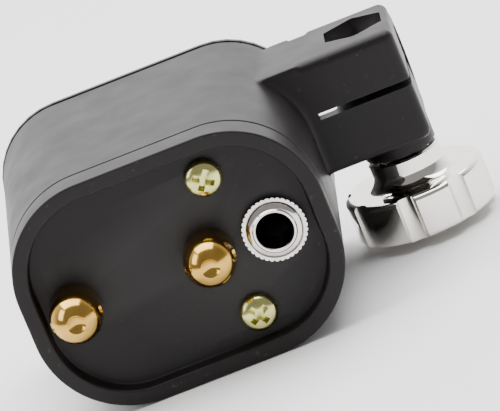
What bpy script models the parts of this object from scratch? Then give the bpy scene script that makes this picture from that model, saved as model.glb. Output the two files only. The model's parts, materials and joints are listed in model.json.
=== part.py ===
"""Direct-drive rotary tattoo machine.

The rear panel faces -Y, the tube clamp stands out along +X and the machine rests on its flat underside at
Z = 0. The origin is the middle of that underside. Depths are measured from the rim of the rear panel towards
the front, and heights from the centre of the panel.
"""
import math

import bmesh
import bpy
from mathutils import Matrix, Vector

MM = 0.001
GAP = 0.3 * MM

# Housing
DEPTH = 50.0 * MM
REAR_Y = -0.5 * DEPTH
CENTRE_Z = 20.6 * MM
HALF_WIDTH = 27.75 * MM
HALF_HEIGHT = 20.6 * MM
SIDE_FLARE = 0.6 * MM
TOP_FLARE = 2.0 * MM
CORNER_RADIUS = 16.8 * MM
TOP_CORNER_LOSS = 2.6 * MM
WALL = 3.0 * MM
RIM = 2.7 * MM
CORNER_STEPS = 9
CAP_SKIRT = 5.6 * MM
RECESS_DEPTH = 2.9 * MM
CAP_BACK = 7.2 * MM
LEDGE_DEPTH = 41.0 * MM
HOUSING_FRONT = 49.0 * MM
BEZEL_THICKNESS = 0.9 * MM

# Rear panel fittings, as (X, height above the panel centre)
JACK_AT = (17.6 * MM, 0.0)
CAP_SCREW_X = 9.65 * MM
CAP_SCREW_HEIGHT = 12.9 * MM
POST_LEFT_AT = (-19.1 * MM, -0.7 * MM)
POST_RIGHT_AT = (5.6 * MM, 0.0)
POST_RADIUS = 4.5 * MM
POST_TIP = -7.0 * MM
POST_DIMPLE_RADIUS = 1.7 * MM
POST_DIMPLE_DEPTH = 1.5 * MM
POST_SHANK_RADIUS = 2.0 * MM
POST_SHANK_END = 13.4 * MM
POST_CROSS_HOLE = 1.2 * MM

# Motor and crank
MOTOR_X = -6.0 * MM
DRIVE_HEIGHT = 8.0 * MM
MOTOR_RADIUS = 9.6 * MM
MOTOR_REAR = 15.0 * MM
MOTOR_FRONT = 41.0 * MM
SHAFT_RADIUS = 1.0 * MM
WHEEL_RADIUS = 6.5 * MM
CRANK_THROW = 1.75 * MM

# Tube clamp
CLAMP_LEFT = 33.75 * MM
CLAMP_RIGHT = 47.6 * MM
CLAMP_NEAR = 28.0 * MM
CLAMP_FAR = 49.0 * MM
CLAMP_BOTTOM = -2.5 * MM
CLAMP_TOP = 18.4 * MM
ARM_FAR = 46.8 * MM
ARM_WALL = 3.0 * MM
ARM_STEP_X = 32.6 * MM
RIM = 2.7 * MM
CLAMP_ROUNDING = 2.0 * MM
BORE_DEPTH_AT = 48.4 * MM
BORE_HEIGHT = 8.3 * MM
BORE_RADIUS = 5.4 * MM
BARREL_RADIUS = 7.6 * MM
SLIT_HEIGHT = 1.35 * MM
SLIT_START_X = 30.3 * MM
SCREW_X = 41.05 * MM
SCREW_DEPTH_AT = 39.0 * MM
STUD_RADIUS = 2.9 * MM
NUT_FLATS = 10.0 * MM
BOSS_RADIUS = 6.55 * MM
BOSS_BOTTOM = -5.6 * MM

# Knob
KNOB_NECK_TOP = -5.9 * MM
KNOB_FACE = -10.9 * MM
KNOB_BOTTOM = -19.0 * MM
KNOB_RADIUS = 13.0 * MM
KNOB_NECK_RADIUS = 6.65 * MM
KNOB_LOBES = 8
KNOB_GROOVE = 1.5 * MM
KNOB_VALLEY_ANGLE = math.radians(-10.2)
KNOB_POINTS = 64

ROUND_STEPS = 32
FINE_STEPS = 20


# Scene helpers

def clear_scene():
    for obj in list(bpy.data.objects):
        bpy.data.objects.remove(obj, do_unlink=True)


def new_collection(name):
    collection = bpy.data.collections.new(name)
    bpy.context.scene.collection.children.link(collection)
    return collection


def make_material(name, colour, roughness, metallic):
    material = bpy.data.materials.new(name)
    material.use_nodes = True
    shader = material.node_tree.nodes["Principled BSDF"]
    shader.inputs["Base Color"].default_value = (*colour, 1.0)
    shader.inputs["Roughness"].default_value = roughness
    shader.inputs["Metallic"].default_value = metallic
    return material


def world(x, depth, height):
    """A place given from the panel's centre and rim, as world coordinates."""
    return Vector((x, REAR_Y + depth, CENTRE_Z + height))


def add_object(name, mesh, material=None, cutter=False):
    obj = bpy.data.objects.new(name, mesh)
    if cutter:
        CUTTERS.objects.link(obj)
        obj.hide_render = True
        obj.display_type = "WIRE"
    else:
        PARTS.objects.link(obj)
    if material is not None:
        mesh.materials.append(material)
    return obj


def mesh_from(name, bm, smooth_angle=35.0):
    bmesh.ops.recalc_face_normals(bm, faces=bm.faces)
    mesh = bpy.data.meshes.new(name)
    bm.to_mesh(mesh)
    bm.free()
    mesh.shade_smooth()
    mesh.set_sharp_from_angle(angle=math.radians(smooth_angle))
    return mesh


def loft(name, rings, material=None, cutter=False):
    """A closed solid through rings of equally many points, capped at both ends."""
    bm = bmesh.new()
    loops = [[bm.verts.new(point) for point in ring] for ring in rings]
    count = len(loops[0])
    for lower, upper in zip(loops, loops[1:]):
        for i in range(count):
            j = (i + 1) % count
            bm.faces.new((lower[i], lower[j], upper[j], upper[i]))
    bm.faces.new(loops[0])
    bm.faces.new(loops[-1])
    return add_object(name, mesh_from(name, bm), material, cutter)


def box(name, low, high, material=None, cutter=False, rounding=0.0):
    bm = bmesh.new()
    size = Vector(high) - Vector(low)
    centre = (Vector(high) + Vector(low)) / 2
    bmesh.ops.create_cube(bm, size=1.0, matrix=Matrix.Translation(centre) @ Matrix.Diagonal((*size, 1.0)))
    obj = add_object(name, mesh_from(name, bm), material, cutter)
    if rounding > 0.0:
        bevel = obj.modifiers.new("rounding", "BEVEL")
        bevel.width = rounding
        bevel.segments = 3
        bevel.limit_method = "ANGLE"
    return obj


AXIS_TURN = {
    "X": Matrix.Rotation(math.radians(90), 4, "Y"),
    "Y": Matrix.Rotation(math.radians(-90), 4, "X"),
    "Z": Matrix.Identity(4),
}


def cylinder(name, centre, radius, length, axis, material=None, cutter=False, steps=FINE_STEPS, turn=0.0):
    """A cylinder or prism about the given axis; centre is the middle of its length."""
    bm = bmesh.new()
    matrix = Matrix.Translation(centre) @ AXIS_TURN[axis] @ Matrix.Rotation(turn, 4, "Z")
    bmesh.ops.create_cone(bm, cap_ends=True, segments=steps, radius1=radius, radius2=radius,
                          depth=length, matrix=matrix)
    return add_object(name, mesh_from(name, bm), material, cutter)


def turned(name, base, axis, profile, material=None, steps=FINE_STEPS, closed=False, cutter=False):
    """A turned solid. The profile lists (radius, distance along the axis), farthest distance first."""
    mesh = bpy.data.meshes.new(name)
    points = [(radius, 0.0, along) for radius, along in profile]
    edges = [(i, i + 1) for i in range(len(points) - 1)]
    if closed:
        edges.append((len(points) - 1, 0))
    mesh.from_pydata(points, edges, [])
    obj = add_object(name, mesh, material, cutter)
    screw = obj.modifiers.new("turn", "SCREW")
    screw.axis = "Z"
    screw.steps = steps
    screw.render_steps = steps
    screw.use_merge_vertices = True
    screw.merge_threshold = 0.00001
    screw.use_smooth_shade = True
    obj.matrix_world = Matrix.Translation(base) @ AXIS_TURN[axis]
    return obj


def ring(name, base, axis, inner, outer, length, material, steps=FINE_STEPS):
    """A plain washer or bush that runs from base along the axis."""
    profile = [(inner, length), (outer, length), (outer, 0.0), (inner, 0.0)]
    return turned(name, base, axis, profile, material, steps, closed=True)


def combine(target, tool, operation):
    modifier = target.modifiers.new(tool.name, "BOOLEAN")
    modifier.operation = operation
    modifier.solver = "EXACT"
    modifier.object = tool


def cut(target, tool):
    combine(target, tool, "DIFFERENCE")


def join(target, tool):
    combine(target, tool, "UNION")


# Outlines

def rounded_outline(left, right, bottom, top, bottom_radius, top_radius):
    """Points (x, height) of a rounded rectangle, with its own radius for the two upper corners."""
    corners = (
        (right - bottom_radius, bottom + bottom_radius, bottom_radius, -90.0),
        (right - top_radius, top - top_radius, top_radius, 0.0),
        (left + top_radius, top - top_radius, top_radius, 90.0),
        (left + bottom_radius, bottom + bottom_radius, bottom_radius, 180.0),
    )
    points = []
    for x, height, radius, start in corners:
        for step in range(CORNER_STEPS + 1):
            angle = math.radians(start + 90.0 * step / CORNER_STEPS)
            points.append((x + radius * math.cos(angle), height + radius * math.sin(angle)))
    return points


def shell_ring(depth, inset):
    """The body's outline at a depth, drawn in by an inset."""
    part_way = depth / DEPTH
    half_width = HALF_WIDTH + SIDE_FLARE * part_way - inset
    top = HALF_HEIGHT + TOP_FLARE * part_way - inset
    top_radius = CORNER_RADIUS - TOP_CORNER_LOSS * part_way - inset
    outline = rounded_outline(-half_width, half_width, max(inset, 0.0) - HALF_HEIGHT, top,
                              CORNER_RADIUS - max(inset, 0.0), top_radius)
    return [world(x, depth, height) for x, height in outline]


def shell_loft(name, stations, material=None, cutter=False):
    return loft(name, [shell_ring(depth, inset) for depth, inset in stations], material, cutter)


# Housing, cap and front

def arm_and_clamp(housing):
    """The arm and the clamp block in one bar, the barrel round the tube bore, and the boss under the block."""
    near_bar = box("tool_near_bar", world(25.8 * MM, CLAMP_NEAR, CLAMP_BOTTOM),
                   world(CLAMP_RIGHT, CLAMP_FAR, CLAMP_TOP), cutter=True, rounding=CLAMP_ROUNDING)
    roof = box("tool_arm_roof", world(21.4 * MM, CLAMP_NEAR, CLAMP_TOP - ARM_WALL),
               world(30.0 * MM, CLAMP_FAR, CLAMP_TOP), cutter=True, rounding=CLAMP_ROUNDING)
    middle = 0.5 * (CLAMP_LEFT + CLAMP_RIGHT)
    barrel = cylinder("tool_barrel", world(middle, BORE_DEPTH_AT, BORE_HEIGHT), BARREL_RADIUS,
                      CLAMP_RIGHT - CLAMP_LEFT + 0.4 * MM, "X", cutter=True, steps=ROUND_STEPS)
    boss = cylinder("tool_boss", world(SCREW_X, SCREW_DEPTH_AT, 0.5 * (BOSS_BOTTOM + 1.0 * MM)), BOSS_RADIUS,
                    1.0 * MM - BOSS_BOTTOM, "Z", cutter=True, steps=ROUND_STEPS)
    for tool in (near_bar, roof):
        join(housing, tool)
    hollow_arm(housing)
    for tool in (barrel, boss):
        join(housing, tool)


def hollow_arm(housing):
    """Clears the arm's far side, so that it keeps only its near wall and its roof."""
    window = box("tool_arm_window", world(28.6 * MM, CLAMP_NEAR + ARM_WALL, CLAMP_BOTTOM - 2.0 * MM),
                 world(CLAMP_LEFT - 0.1 * MM, CLAMP_FAR + 1.0 * MM, CLAMP_TOP - ARM_WALL), cutter=True)
    step = box("tool_arm_step", world(28.6 * MM, ARM_FAR, CLAMP_BOTTOM - 2.0 * MM),
               world(ARM_STEP_X, CLAMP_FAR + 1.0 * MM, CLAMP_TOP + 2.0 * MM), cutter=True)
    cut(housing, window)
    cut(housing, step)


def clamp_cuts(housing):
    """The tube bore, the slit that lets the jaws close, the nut pocket and the screw hole."""
    middle = 0.5 * (CLAMP_LEFT + CLAMP_RIGHT)
    bore = cylinder("tool_tube_bore", world(middle, BORE_DEPTH_AT, BORE_HEIGHT), BORE_RADIUS, 20.0 * MM, "X",
                    cutter=True, steps=ROUND_STEPS)
    slit = box("tool_clamp_slit", world(SLIT_START_X, CLAMP_NEAR - 1.0 * MM, BORE_HEIGHT - SLIT_HEIGHT / 2),
               world(CLAMP_RIGHT + 2.0 * MM, BORE_DEPTH_AT - 2.0 * MM, BORE_HEIGHT + SLIT_HEIGHT / 2),
               cutter=True)
    pocket_floor = 12.5 * MM
    pocket_radius = (NUT_FLATS / 2 + GAP) / math.cos(math.radians(30))
    pocket = cylinder("tool_nut_pocket", world(SCREW_X, SCREW_DEPTH_AT, 0.5 * (pocket_floor + 20.0 * MM)),
                      pocket_radius, 20.0 * MM - pocket_floor, "Z", cutter=True, steps=6)
    hole = cylinder("tool_screw_hole", world(SCREW_X, SCREW_DEPTH_AT, 4.0 * MM), STUD_RADIUS + GAP, 30.0 * MM,
                    "Z", cutter=True)
    recess = cylinder("tool_washer_recess", world(SCREW_X, SCREW_DEPTH_AT, BOSS_BOTTOM), 5.3 * MM, 2.2 * MM,
                      "Z", cutter=True)
    for tool in (bore, slit, pocket, hole, recess):
        cut(housing, tool)


def screw_columns(housing):
    """Two columns that take the cap screws at the rear and the front plate's screws at the front."""
    for side, name in ((1, "top"), (-1, "bottom")):
        start = CAP_BACK + GAP
        end = LEDGE_DEPTH
        height = side * CAP_SCREW_HEIGHT
        column = cylinder(f"tool_column_{name}", world(CAP_SCREW_X, 0.5 * (start + end), height), 3.6 * MM,
                          end - start, "Y", cutter=True)
        outer = side * (HALF_HEIGHT - 1.2 * MM)
        web = box(f"tool_web_{name}", world(CAP_SCREW_X - 2.4 * MM, start + 0.1 * MM, min(height, outer)),
                  world(CAP_SCREW_X + 2.4 * MM, end - 0.1 * MM, max(height, outer)), cutter=True)
        join(housing, column)
        join(housing, web)
        rear_hole = cylinder(f"tool_rear_thread_{name}", world(CAP_SCREW_X, start + 5.0 * MM, height),
                             1.55 * MM, 14.0 * MM, "Y", cutter=True, steps=12)
        front_hole = cylinder(f"tool_front_thread_{name}", world(CAP_SCREW_X, end - 4.0 * MM, height),
                              1.3 * MM, 10.0 * MM, "Y", cutter=True, steps=12)
        cut(housing, rear_hole)
        cut(housing, front_hole)


def make_housing():
    """The cast body: a tube that flares to the front, with the clamp arm on its right side."""
    edge = 0.25 * MM
    housing = shell_loft("housing", (
        (CAP_SKIRT + GAP, edge), (CAP_SKIRT + GAP + edge, 0.0),
        (HOUSING_FRONT - edge, 0.0), (HOUSING_FRONT, edge)), BLACK)
    arm_and_clamp(housing)
    cut(housing, shell_loft("tool_cavity", ((CAP_SKIRT - 1.0 * MM, WALL), (LEDGE_DEPTH, WALL)), cutter=True))
    lip = 2.2 * MM
    cut(housing, shell_loft("tool_front_cavity", (
        (LEDGE_DEPTH - 0.01 * MM, lip), (HOUSING_FRONT + 1.0 * MM, lip)), cutter=True))
    screw_columns(housing)
    clamp_cuts(housing)
    notch = box("tool_needle_notch", world(22.0 * MM, 44.6 * MM, BORE_HEIGHT - 3.4 * MM),
                world(32.0 * MM, 52.0 * MM, BORE_HEIGHT + 3.4 * MM), cutter=True)
    cut(housing, notch)
    return housing


def panel_hole(cap, name, x, height, radius):
    tool = cylinder(f"tool_{name}", world(x, 0.5 * CAP_BACK, height), radius, 12.0 * MM, "Y", cutter=True)
    cut(cap, tool)


def make_rear_cap():
    """The cap that closes the rear: a rim round a recessed panel, and a spigot that fits the housing."""
    edge = 0.4 * MM
    spigot = WALL + GAP
    cap = shell_loft("rear_cap", (
        (0.0, edge), (0.12 * MM, 0.12 * MM), (edge, 0.0), (CAP_SKIRT - 0.2 * MM, 0.0), (CAP_SKIRT, 0.2 * MM),
        (CAP_SKIRT + 0.01 * MM, spigot), (CAP_BACK, spigot)), BLACK)
    cut(cap, shell_loft("tool_panel_recess", (
        (-1.0 * MM, RIM - 0.4 * MM), (0.0, RIM - 0.4 * MM), (0.4 * MM, RIM), (RECESS_DEPTH - 0.7 * MM, RIM),
        (RECESS_DEPTH - 0.25 * MM, RIM + 0.2 * MM), (RECESS_DEPTH, RIM + 0.7 * MM)),
        cutter=True))
    panel_hole(cap, "hole_jack", JACK_AT[0], JACK_AT[1], 5.0 * MM)
    panel_hole(cap, "hole_post_left", *POST_LEFT_AT, POST_SHANK_RADIUS + GAP)
    panel_hole(cap, "hole_post_right", *POST_RIGHT_AT, POST_SHANK_RADIUS + GAP)
    panel_hole(cap, "hole_screw_top", CAP_SCREW_X, CAP_SCREW_HEIGHT, 1.8 * MM)
    panel_hole(cap, "hole_screw_bottom", CAP_SCREW_X, -CAP_SCREW_HEIGHT, 1.8 * MM)
    return cap


MOUNT_SCREW_SPACING = 12.0 * MM
PLATE_FRONT = LEDGE_DEPTH + GAP + 2.2 * MM


def make_front_plate():
    """The plate inside the front that carries the motor."""
    inset = 2.2 * MM + GAP
    plate = shell_loft("front_plate", ((LEDGE_DEPTH + GAP, inset), (PLATE_FRONT, inset)), BLACK)
    cut(plate, cylinder("tool_motor_nose", world(MOTOR_X, PLATE_FRONT, DRIVE_HEIGHT), 3.4 * MM, 8.0 * MM, "Y",
                        cutter=True))
    for side in (1, -1):
        cut(plate, cylinder(f"tool_plate_hole_{side}", world(CAP_SCREW_X, PLATE_FRONT, side * CAP_SCREW_HEIGHT),
                            1.6 * MM, 8.0 * MM, "Y", cutter=True, steps=12))
        cut(plate, cylinder(f"tool_motor_hole_{side}",
                            world(MOTOR_X, PLATE_FRONT, DRIVE_HEIGHT + side * MOUNT_SCREW_SPACING / 2),
                            1.3 * MM, 8.0 * MM, "Y", cutter=True, steps=12))
    return plate


BEZEL_START = HOUSING_FRONT + GAP
BEZEL_BAR = 5.0 * MM
BEZEL_PROUD = 0.15 * MM


def make_front_bezel():
    """The thin black ring on the front edge, open on the right where the needle bar leaves."""
    bezel = shell_loft("front_bezel", ((BEZEL_START, -BEZEL_PROUD), (BEZEL_START + BEZEL_THICKNESS, -BEZEL_PROUD)),
                       BLACK)
    cut(bezel, shell_loft("tool_bezel_window", ((BEZEL_START - 1.0 * MM, BEZEL_BAR), (DEPTH + 2.0 * MM, BEZEL_BAR)),
                          cutter=True))
    cut(bezel, box("tool_bezel_notch", world(20.0 * MM, BEZEL_START - 1.0 * MM, BORE_HEIGHT - 8.3 * MM),
                   world(32.0 * MM, DEPTH + 2.0 * MM, BORE_HEIGHT + 8.3 * MM), cutter=True))
    return bezel


def small_screw(name, x, head_start, height, head_radius, head_height, shank_radius, reach, direction=1):
    """A pan-head screw with a cross recess; the shank runs along +Y, or along -Y when direction is -1."""
    axis_base = world(x, head_start, height)
    profile = [(0.0, head_height), (head_radius * 0.5, 0.92 * head_height), (head_radius * 0.8, 0.68 * head_height),
               (head_radius * 0.96, 0.36 * head_height), (head_radius, 0.1 * head_height), (head_radius, 0.0),
               (shank_radius, 0.0), (shank_radius, -reach), (0.0, -reach)]
    screw = turned(name, axis_base, "Y", profile, ZINC, steps=16)
    if direction > 0:
        screw.matrix_world = Matrix.Translation(axis_base) @ Matrix.Rotation(math.radians(90), 4, "X")
    else:
        screw.matrix_world = Matrix.Translation(axis_base) @ Matrix.Rotation(math.radians(-90), 4, "X")
    face = head_start - direction * head_height
    arm = 0.7 * head_radius
    slot = 0.17 * head_radius
    sink = 0.55 * head_height
    for half_x, half_z, label in ((arm, slot, "a"), (slot, arm, "b")):
        low = world(x - half_x, face - sink, height - half_z)
        high = world(x + half_x, face + sink, height + half_z)
        cut(screw, box(f"tool_{name}_{label}", low, high, cutter=True))
    return screw


def make_cap_screws():
    for side, name in ((1, "cap_screw_top"), (-1, "cap_screw_bottom")):
        small_screw(name, CAP_SCREW_X, RECESS_DEPTH - GAP, side * CAP_SCREW_HEIGHT, 3.3 * MM, 2.4 * MM,
                    1.25 * MM, 14.5 * MM)


def make_front_screws():
    head_seat = PLATE_FRONT + GAP
    for side, name in ((1, "upper"), (-1, "lower")):
        small_screw(f"plate_screw_{name}", CAP_SCREW_X, head_seat, side * CAP_SCREW_HEIGHT, 2.3 * MM, 1.5 * MM,
                    1.0 * MM, 8.0 * MM, direction=-1)
        small_screw(f"motor_screw_{name}", MOTOR_X, head_seat,
                    DRIVE_HEIGHT + side * MOUNT_SCREW_SPACING / 2, 1.7 * MM, 0.5 * MM, 0.8 * MM, 4.0 * MM,
                    direction=-1)


# Rear panel fittings

def make_post(name, x, height):
    """A brass clip-cord post: a bullet with a domed end, a centre dimple, a cross hole and a shank."""
    base = RECESS_DEPTH - GAP
    length = base - POST_TIP
    dome_steps = 7
    start = math.asin(POST_DIMPLE_RADIUS / POST_RADIUS)
    rim = length - POST_RADIUS * (1.0 - math.cos(start))
    profile = [(0.0, rim - POST_DIMPLE_DEPTH)]
    for step in range(dome_steps + 1):
        angle = start + (math.pi / 2 - start) * step / dome_steps
        profile.append((POST_RADIUS * math.sin(angle), length - POST_RADIUS * (1.0 - math.cos(angle))))
    profile += [(POST_RADIUS, 0.3 * MM), (POST_RADIUS - 0.3 * MM, 0.0), (POST_SHANK_RADIUS, 0.0),
                (POST_SHANK_RADIUS, base - POST_SHANK_END), (0.0, base - POST_SHANK_END)]
    post = turned(name, world(x, base, height), "Y", profile, BRASS, steps=24)
    post.matrix_world = Matrix.Translation(world(x, base, height)) @ Matrix.Rotation(math.radians(90), 4, "X")
    cut(post, cylinder(f"tool_{name}_hole", world(x, POST_TIP + 4.0 * MM, height), POST_CROSS_HOLE, 12.0 * MM, "X",
                       cutter=True, steps=12))
    return post


def hex_nut(name, centre, flats, thickness, hole, axis, material, turn=0.0):
    nut = cylinder(name, centre, flats / 2 / math.cos(math.radians(30)), thickness, axis, material, steps=6,
                   turn=turn)
    cut(nut, cylinder(f"tool_{name}", centre, hole, thickness * 3, axis, cutter=True, steps=16))
    return nut


def make_post_fixings():
    """Behind the panel, a solder tag under a nut on each post's shank."""
    tag_start = CAP_BACK + GAP
    tag_thickness = 0.6 * MM
    nut_thickness = 2.4 * MM
    hole = POST_SHANK_RADIUS + GAP
    for name, (x, height) in (("left", POST_LEFT_AT), ("right", POST_RIGHT_AT)):
        tag = ring(f"solder_tag_{name}", world(x, tag_start, height), "Y", hole, 3.4 * MM, tag_thickness, COPPER, 16)
        tongue = box(f"tool_tongue_{name}", world(x - 1.1 * MM, tag_start + 0.02 * MM, height - 8.6 * MM),
                     world(x + 1.1 * MM, tag_start + tag_thickness - 0.02 * MM, height - 2.8 * MM), cutter=True)
        join(tag, tongue)
        nut_centre = world(x, tag_start + tag_thickness + GAP + nut_thickness / 2, height)
        hex_nut(f"post_nut_{name}", nut_centre, 6.4 * MM, nut_thickness, hole, "Y", STEEL)


JACK_BODY_START = CAP_BACK + 1.6 * MM


def make_jack():
    """The phone-jack socket: threaded bushing with its knurled nut, body, tip spring and lugs."""
    x, height = JACK_AT
    front = 0.4 * MM
    bushing_length = JACK_BODY_START - front
    flange = 1.2 * MM
    profile = [(3.2 * MM, bushing_length), (3.75 * MM, bushing_length), (3.9 * MM, bushing_length - 0.15 * MM),
               (3.9 * MM, bushing_length - 0.6 * MM), (4.6 * MM, bushing_length - 0.85 * MM),
               (4.6 * MM, flange), (6.1 * MM, flange), (6.1 * MM, 0.0), (3.2 * MM, 0.0)]
    bushing = turned("jack_bushing", world(x, JACK_BODY_START, height), "Y", profile, NICKEL, 32, closed=True)
    bushing.matrix_world = (Matrix.Translation(world(x, JACK_BODY_START, height))
                            @ Matrix.Rotation(math.radians(90), 4, "X"))
    make_knurled_nut(x, height)
    body = box("jack_body", world(x - 6.2 * MM, JACK_BODY_START + GAP, height - 6.0 * MM),
               world(x + 6.2 * MM, JACK_BODY_START + 22.0 * MM, height + 6.0 * MM), GREY, rounding=0.6 * MM)
    cut(body, box("tool_plug_way", world(x - 3.4 * MM, JACK_BODY_START - 1.0 * MM, height - 3.4 * MM),
                  world(x + 3.4 * MM, JACK_BODY_START + 20.0 * MM, height + 8.0 * MM), cutter=True))
    spring_top = height + 4.8 * MM
    spring = box("jack_tip_spring", world(x - 1.6 * MM, JACK_BODY_START + 8.0 * MM, spring_top - 0.4 * MM),
                 world(x + 1.6 * MM, JACK_BODY_START + 19.4 * MM, spring_top), BRASS)
    contact = cylinder("tool_spring_bow", world(x, JACK_BODY_START + 9.6 * MM, spring_top - 0.5 * MM), 1.2 * MM,
                       3.0 * MM, "X", cutter=True, steps=12)
    join(spring, contact)
    for side, name in ((-1, "jack_tip_lug"), (1, "jack_sleeve_lug")):
        lug_x = x + side * 3.0 * MM
        box(name, world(lug_x - 1.0 * MM, JACK_BODY_START + 22.3 * MM, height - 0.3 * MM),
            world(lug_x + 1.0 * MM, JACK_BODY_START + 27.0 * MM, height + 0.3 * MM), COPPER)


def make_knurled_nut(x, height):
    teeth = 38
    outer = 5.73 * MM
    root = 5.45 * MM
    start = 1.5 * MM
    end = RECESS_DEPTH - GAP

    def tooth_ring(depth, draw_in):
        points = []
        for i in range(teeth * 2):
            angle = math.pi * i / teeth
            radius = (outer if i % 2 else root) - draw_in
            points.append(world(x + radius * math.cos(angle), depth, height + radius * math.sin(angle)))
        return points

    nut = loft("jack_nut", [tooth_ring(start, 0.35 * MM), tooth_ring(start + 0.35 * MM, 0.0), tooth_ring(end, 0.0)],
               NICKEL)
    cut(nut, cylinder("tool_jack_nut", world(x, 3.0 * MM, height), 4.9 * MM, 10.0 * MM, "Y", cutter=True,
                      steps=ROUND_STEPS))


# Motor

CAN_WALL = 0.8 * MM


def make_motor_case():
    """The motor's can, rear end cap, bearings, magnets, brushes and terminals."""
    can_length = MOTOR_FRONT - MOTOR_REAR - 3.0 * MM
    base = world(MOTOR_X, MOTOR_REAR + 3.0 * MM, DRIVE_HEIGHT)
    inner = MOTOR_RADIUS - CAN_WALL
    nose = 3.0 * MM
    profile = [(2.2 * MM, can_length + 1.6 * MM), (nose, can_length + 1.6 * MM), (nose, can_length),
               (MOTOR_RADIUS, can_length), (MOTOR_RADIUS, 0.0), (inner, 0.0), (inner, can_length - CAN_WALL),
               (2.2 * MM, can_length - CAN_WALL)]
    can = turned("motor_can", base, "Y", profile, STEEL, ROUND_STEPS, closed=True)
    for side in (1, -1):
        cut(can, cylinder(f"tool_can_hole_{side}",
                          world(MOTOR_X, MOTOR_FRONT, DRIVE_HEIGHT + side * MOUNT_SCREW_SPACING / 2),
                          0.8 * MM + GAP, 6.0 * MM, "Y", cutter=True, steps=12, turn=0.1))
    cap_base = world(MOTOR_X, MOTOR_REAR, DRIVE_HEIGHT)
    cap_profile = [(2.2 * MM, 2.7 * MM), (MOTOR_RADIUS, 2.7 * MM), (MOTOR_RADIUS, 0.0), (2.2 * MM, 0.0)]
    turned("motor_end_cap", cap_base, "Y", cap_profile, WHITE, ROUND_STEPS, closed=True)
    bearing_bore = SHAFT_RADIUS + 0.08 * MM
    ring("motor_bearing_front", world(MOTOR_X, MOTOR_FRONT - 0.6 * MM, DRIVE_HEIGHT), "Y", bearing_bore, 1.9 * MM,
         2.0 * MM, BRASS, 16)
    ring("motor_bearing_rear", world(MOTOR_X, MOTOR_REAR + 0.3 * MM, DRIVE_HEIGHT), "Y", bearing_bore, 1.9 * MM,
         2.0 * MM, BRASS, 16)
    make_magnets(inner - GAP)
    for side, name in ((-1, "left"), (1, "right")):
        terminal_x = MOTOR_X + side * 5.6 * MM
        box(f"motor_terminal_{name}", world(terminal_x - 0.9 * MM, MOTOR_REAR - 3.0 * MM, DRIVE_HEIGHT - 0.25 * MM),
            world(terminal_x + 0.9 * MM, MOTOR_REAR - GAP, DRIVE_HEIGHT + 0.25 * MM), COPPER)
        brush_x = MOTOR_X + side * 3.3 * MM
        box(f"motor_brush_{name}", world(brush_x - 0.9 * MM, MOTOR_REAR + 4.2 * MM, DRIVE_HEIGHT - 0.9 * MM),
            world(brush_x + 0.9 * MM, MOTOR_REAR + 6.4 * MM, DRIVE_HEIGHT + 0.9 * MM), CARBON)


def arc_ring(radius, thickness, depth, start, span, steps):
    """A bowed bar's section across the motor's axis, as points at one depth."""
    outer = []
    inner = []
    for step in range(steps + 1):
        angle = start + span * step / steps
        along_x = math.cos(angle)
        upward = math.sin(angle)
        outer.append(world(MOTOR_X + radius * along_x, depth, DRIVE_HEIGHT + radius * upward))
        thin = radius - thickness
        inner.append(world(MOTOR_X + thin * along_x, depth, DRIVE_HEIGHT + thin * upward))
    return outer + inner[::-1]


def make_magnets(radius):
    span = math.radians(130)
    for name, middle in (("motor_magnet_upper", math.pi / 2), ("motor_magnet_lower", -math.pi / 2)):
        rings = [arc_ring(radius, 1.7 * MM, depth, middle - span / 2, span, 8)
                 for depth in (MOTOR_REAR + 9.0 * MM, MOTOR_FRONT - 3.5 * MM)]
        loft(name, rings, GREY)


def make_rotor():
    """What turns: shaft, armature core, commutator, eccentric wheel, grub screw and crank pin."""
    start = MOTOR_REAR + 0.3 * MM
    cylinder("motor_shaft", world(MOTOR_X, 0.5 * (start + 48.4 * MM), DRIVE_HEIGHT), SHAFT_RADIUS,
             48.4 * MM - start, "Y", STEEL, steps=24)
    hub = SHAFT_RADIUS + GAP
    make_armature(hub)
    ring("commutator", world(MOTOR_X, MOTOR_REAR + 3.6 * MM, DRIVE_HEIGHT), "Y", hub, 2.1 * MM, 3.6 * MM, COPPER,
         16)
    make_eccentric(hub)


def make_armature(hub):
    """A three-pole core: wide pole faces on narrow necks."""
    poles = 3
    steps = 60

    def core_ring(depth):
        points = []
        for i in range(steps):
            angle = 2 * math.pi * i / steps
            across_pole = (i % (steps // poles)) / (steps / poles)
            radius = 6.5 * MM if 0.12 < across_pole < 0.88 else 2.8 * MM
            points.append(world(MOTOR_X + radius * math.cos(angle), depth, DRIVE_HEIGHT + radius * math.sin(angle)))
        return points

    core = loft("armature_core", [core_ring(MOTOR_REAR + 9.4 * MM), core_ring(MOTOR_FRONT - 4.0 * MM)], STEEL)
    cut(core, cylinder("tool_core_hub", world(MOTOR_X, 0.5 * (MOTOR_REAR + MOTOR_FRONT), DRIVE_HEIGHT), hub,
                       30.0 * MM, "Y", cutter=True, steps=16))


WHEEL_START = 44.6 * MM
WHEEL_THICKNESS = 3.4 * MM
PIN_RADIUS = 1.0 * MM
GRUB_RADIUS = 1.0 * MM


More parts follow.
